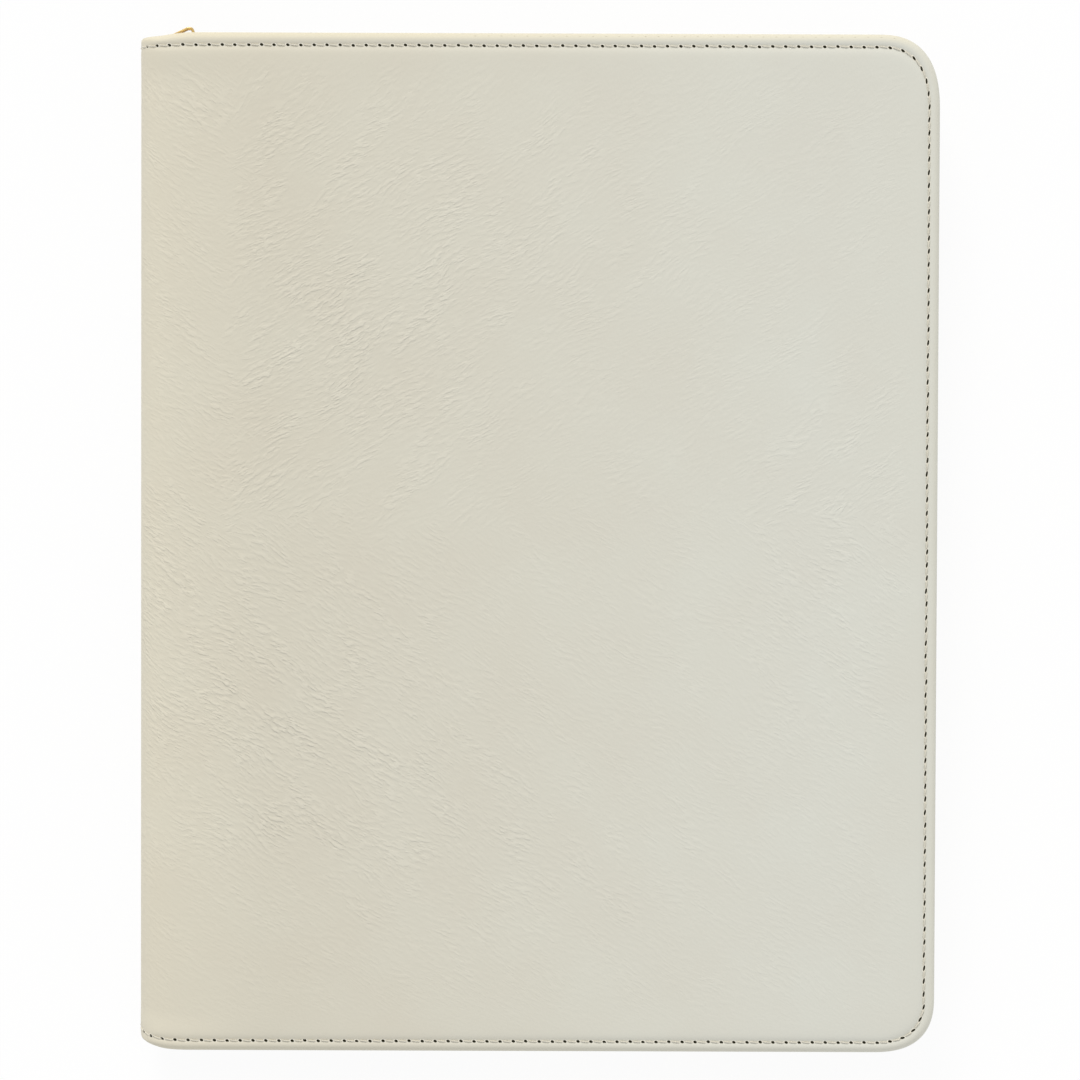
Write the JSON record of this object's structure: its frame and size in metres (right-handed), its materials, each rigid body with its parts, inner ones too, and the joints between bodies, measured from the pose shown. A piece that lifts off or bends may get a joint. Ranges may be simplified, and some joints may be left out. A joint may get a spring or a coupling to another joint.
{
  "type": "zippered padfolio",
  "caption": "Padded leatherette folder that zips shut on three sides, with a writing pad in a sleeve, card and paper pockets, and a pen loop on the spine.",
  "frame": {"origin": "middle of the outer face of the back cover, with the case closed and lying on it", "axes": "+X from the spine to the fore edge, +Y from the tail to the head, +Z from the back cover to the front cover"},
  "size_m": [0.267, 0.3432, 0.028],
  "materials": {
    "ivory_leather": "ivory leatherette with a fine creased grain, satin",
    "pocket_leather": "ivory leatherette, matte",
    "lining_cloth": "woven cloth",
    "foam": "soft padding",
    "grey_board": "raw board",
    "zip_tape": "woven tape",
    "gold_metal": "polished gold plate",
    "elastic": "ribbed elastic",
    "pad_board": "brown board",
    "paper": "ruled writing paper",
    "binding": "bookbinding tape",
    "clear_vinyl": "clear film"
  },
  "bodies": {
    "back_cover": {"back_skin": "ivory_leather", "back_foam": "foam", "back_board": "grey_board", "back_lining": "lining_cloth", "back_zip_tape": "zip_tape", "back_zip_teeth": "gold_metal", "back_top_stop": "gold_metal", "bottom_stop": "gold_metal", "pad_sleeve": "pocket_leather", "pad_backing": "pad_board", "pad_paper": "paper", "pad_binding": "binding"},
    "spine": {"spine_skin": "ivory_leather", "spine_stiffener": "grey_board", "spine_lining": "lining_cloth", "pen_loop": "elastic"},
    "front_cover": {"front_skin": "ivory_leather", "front_foam": "foam", "front_board": "grey_board", "front_lining": "lining_cloth", "front_zip_tape": "zip_tape", "front_zip_teeth": "gold_metal", "front_top_stop": "gold_metal", "document_pocket": "pocket_leather", "card_slot_1": "pocket_leather", "card_slot_2": "pocket_leather", "card_slot_3": "pocket_leather", "window_frame": "pocket_leather", "clear_window": "clear_vinyl"},
    "slider": {"slider_body": "gold_metal", "slider_bail": "gold_metal"},
    "pull": {"pull_tab": "gold_metal"}
  },
  "joints": [
    {"name": "spine_fold", "type": "hinge", "parent": "back_cover", "child": "spine", "pos_m": [-0.13114, 0, 0.00236], "axis": [0, -1, 0], "range_deg": [0, 90]},
    {"name": "cover_fold", "type": "hinge", "parent": "spine", "child": "front_cover", "pos_m": [-0.13114, 0, 0.02564], "axis": [0, -1, 0], "range_deg": [0, 90]},
    {"name": "zip_slide", "type": "slide", "parent": "back_cover", "child": "slider", "axis": [1, 0, 0], "range_m": [0, 0.228], "deforming": ["back_zip_teeth", "front_zip_teeth"]},
    {"name": "pull_swing", "type": "hinge", "parent": "slider", "child": "pull", "pos_m": [-0.11914, 0.1708, 0.014], "axis": [0, 0, 1], "range_deg": [0, 165]}
  ],
  "couplings": [
    {"joint": "spine_fold", "follows": "cover_fold", "ratio": 1}
  ]
}
